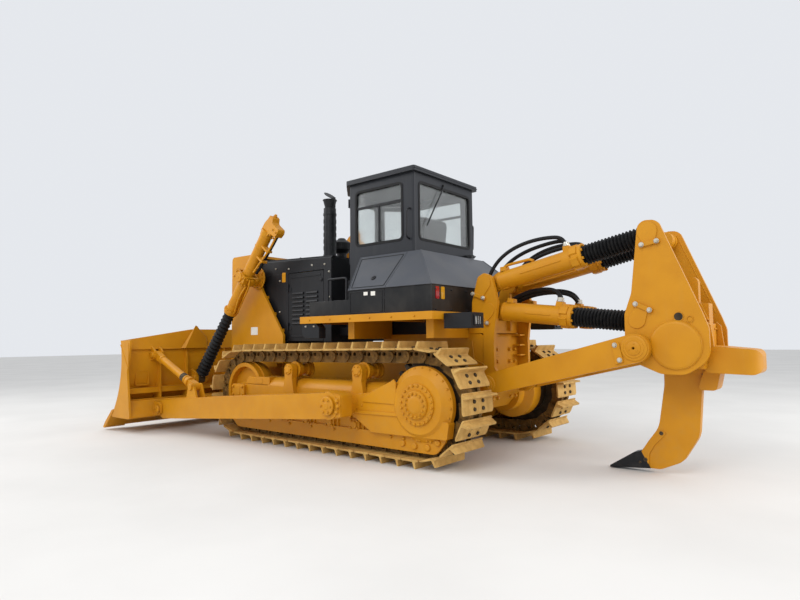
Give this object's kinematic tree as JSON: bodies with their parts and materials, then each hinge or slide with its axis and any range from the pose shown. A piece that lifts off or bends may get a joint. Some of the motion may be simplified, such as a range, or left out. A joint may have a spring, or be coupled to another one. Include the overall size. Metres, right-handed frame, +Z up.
{
  "type": "crawler bulldozer",
  "caption": "Crawler bulldozer with a straight tilting blade, an enclosed six-sided cab and a single-shank ripper behind, standing parked with blade and ripper up",
  "frame": {"origin": "middle of the box round the machine, on the ground", "axes": "+X forward to the blade, +Y to the machine's left, +Z up"},
  "size_m": [8.365, 4.13, 3.5449],
  "materials": {
    "yellow_paint": "orange-yellow machine paint, dusty and lightly scratched",
    "black_paint": "black machine paint, satin",
    "cab_paint": "dark grey cab paint, satin",
    "dusty_steel": "track steel, worn and covered with dry dust",
    "dark_steel": "cast and forged steel, dark, worn at the edges",
    "chrome_rod": "hard chrome of a cylinder's rod",
    "black_rubber": "black rubber, matt and dusty",
    "window_glass": "flat safety glass, lightly tinted",
    "black_leather": "black seat cover, grained",
    "black_plastic": "moulded black plastic"
  },
  "bodies": {
    "chassis": {"main_frame": "yellow_paint", "engine_block": "black_paint", "radiator_guard": "yellow_paint", "grille": "black_paint", "radiator": "black_paint", "hood": "black_paint", "engine_panels": "black_paint", "exhaust_stack": "dark_steel", "air_precleaner": "black_paint", "cab_base": "black_paint", "cab_frame": "cab_paint", "cab_roof": "cab_paint", "cab_glass": "window_glass", "seat": "black_leather", "console": "black_plastic", "fuel_tank": "black_paint", "side_box_left": "black_paint", "side_box_right": "black_paint", "fenders": "yellow_paint", "lamp_boxes": "black_paint", "final_drives": "yellow_paint", "equalizer_bar": "yellow_paint", "track_frame_left": "yellow_paint", "track_frame_right": "yellow_paint", "track_left": "dusty_steel", "track_right": "dusty_steel", "sprocket_left": "dark_steel", "sprocket_right": "dark_steel", "idler_left": "dark_steel", "idler_right": "dark_steel", "track_rollers_left": "dark_steel", "track_rollers_right": "dark_steel", "ripper_bracket": "yellow_paint"},
    "blade_group": {"blade": "yellow_paint", "cutting_edge": "dark_steel", "push_arm_left": "yellow_paint", "push_arm_right": "yellow_paint", "blade_strut": "yellow_paint", "tilt_cylinder": "yellow_paint"},
    "lift_barrel_pair": {"lift_barrels": "yellow_paint", "lift_bellows": "black_rubber"},
    "lift_rod_pair": {"lift_rods": "chrome_rod"},
    "ripper_arm_group": {"ripper_arm": "yellow_paint"},
    "ripper_pivot": {"ripper_pivot_pins": "dark_steel"},
    "ripper_carrier_group": {"ripper_carrier": "yellow_paint", "shank": "yellow_paint", "shank_tip": "black_paint"},
    "pitch_barrel_pair": {"ripper_pitch_barrels": "yellow_paint", "ripper_pitch_bellows": "black_rubber"},
    "pitch_rod_pair": {"ripper_pitch_rods": "chrome_rod"},
    "ripper_lift_barrel_pair": {"ripper_lift_barrels": "yellow_paint", "ripper_lift_bellows": "black_rubber"},
    "ripper_lift_rod_pair": {"ripper_lift_rods": "chrome_rod"},
    "engine_door_l": {"engine_door_left": "black_paint"},
    "engine_door_r": {"engine_door_right": "black_paint"},
    "cab_door_l": {"cab_door_left": "cab_paint", "door_glass_left": "window_glass"},
    "cab_door_r": {"cab_door_right": "cab_paint", "door_glass_right": "window_glass"}
  },
  "joints": [
    {"name": "blade_lift", "type": "hinge", "parent": "chassis", "child": "blade_group", "pos_m": [-0.2875, 0, 0.61], "axis": [0, -1, 0], "range_deg": [-7.5, 18.5]},
    {"name": "lift_barrel_swing", "type": "hinge", "parent": "chassis", "child": "lift_barrel_pair", "pos_m": [2.3125, 0, 2.28], "axis": [0, -1, 0], "range_deg": [-11.26, 27.05]},
    {"name": "lift_rod_slide", "type": "slide", "parent": "lift_barrel_pair", "child": "lift_rod_pair", "axis": [0.6272, 0, -0.7789], "range_m": [-0.9543, 0.3898], "deforming": ["lift_bellows"]},
    {"name": "ripper_lift", "type": "hinge", "parent": "chassis", "child": "ripper_arm_group", "pos_m": [-1.6405, 0, 0.829], "axis": [0, 1, 0], "range_deg": [-48, 38]},
    {"name": "ripper_level", "type": "hinge", "parent": "ripper_arm_group", "child": "ripper_pivot", "pos_m": [-3.2175, 0, 1.225], "axis": [0, 1, 0], "range_deg": [-38.5, 48.5]},
    {"name": "ripper_pitch", "type": "hinge", "parent": "ripper_pivot", "child": "ripper_carrier_group", "pos_m": [-3.2175, 0, 1.225], "axis": [0, 1, 0], "range_deg": [-10, 18]},
    {"name": "pitch_barrel_swing", "type": "hinge", "parent": "chassis", "child": "pitch_barrel_pair", "pos_m": [-1.5625, 0, 1.955], "axis": [0, 1, 0], "range_deg": [-43.94, 34.89]},
    {"name": "pitch_rod_slide", "type": "slide", "parent": "pitch_barrel_pair", "child": "pitch_rod_pair", "axis": [-0.9794, 0, 0.202], "range_m": [-0.3336, 0.1876], "deforming": ["ripper_pitch_bellows"]},
    {"name": "ripper_lift_barrel_swing", "type": "hinge", "parent": "chassis", "child": "ripper_lift_barrel_pair", "pos_m": [-1.6055, 0, 1.648], "axis": [0, 1, 0], "range_deg": [-45.38, 36.03]},
    {"name": "ripper_lift_rod_slide", "type": "slide", "parent": "ripper_lift_barrel_pair", "child": "ripper_lift_rod_pair", "axis": [-0.9941, 0, -0.1084], "range_m": [-0.3432, 0.4323], "deforming": ["ripper_lift_bellows"]},
    {"name": "engine_door_left", "type": "hinge", "parent": "chassis", "child": "engine_door_l", "pos_m": [1.7065, 0.563, 1.815], "axis": [0, 0, -1], "range_deg": [0, 100]},
    {"name": "cab_door_left", "type": "hinge", "parent": "chassis", "child": "cab_door_l", "pos_m": [0.3552, 0.64901, 2.575], "axis": [0, 0, 1], "range_deg": [0, 95]},
    {"name": "engine_door_right", "type": "hinge", "parent": "chassis", "child": "engine_door_r", "pos_m": [1.7065, -0.563, 1.815], "axis": [0, 0, 1], "range_deg": [0, 100]},
    {"name": "cab_door_right", "type": "hinge", "parent": "chassis", "child": "cab_door_r", "pos_m": [0.3552, -0.64901, 2.575], "axis": [0, 0, -1], "range_deg": [0, 95]}
  ],
  "couplings": [
    {"joint": "lift_barrel_swing", "follows": "blade_lift", "ratio": 1.435},
    {"joint": "lift_rod_slide", "follows": "blade_lift", "m_per_rad": -2.94},
    {"joint": "ripper_level", "follows": "ripper_lift", "ratio": -1},
    {"joint": "pitch_barrel_swing", "follows": "ripper_lift", "ratio": 0.905},
    {"joint": "pitch_rod_slide", "follows": "ripper_pitch", "m_per_rad": -1.046},
    {"joint": "ripper_lift_barrel_swing", "follows": "ripper_lift", "ratio": 0.935},
    {"joint": "ripper_lift_rod_slide", "follows": "ripper_lift", "m_per_rad": -0.51}
  ]
}
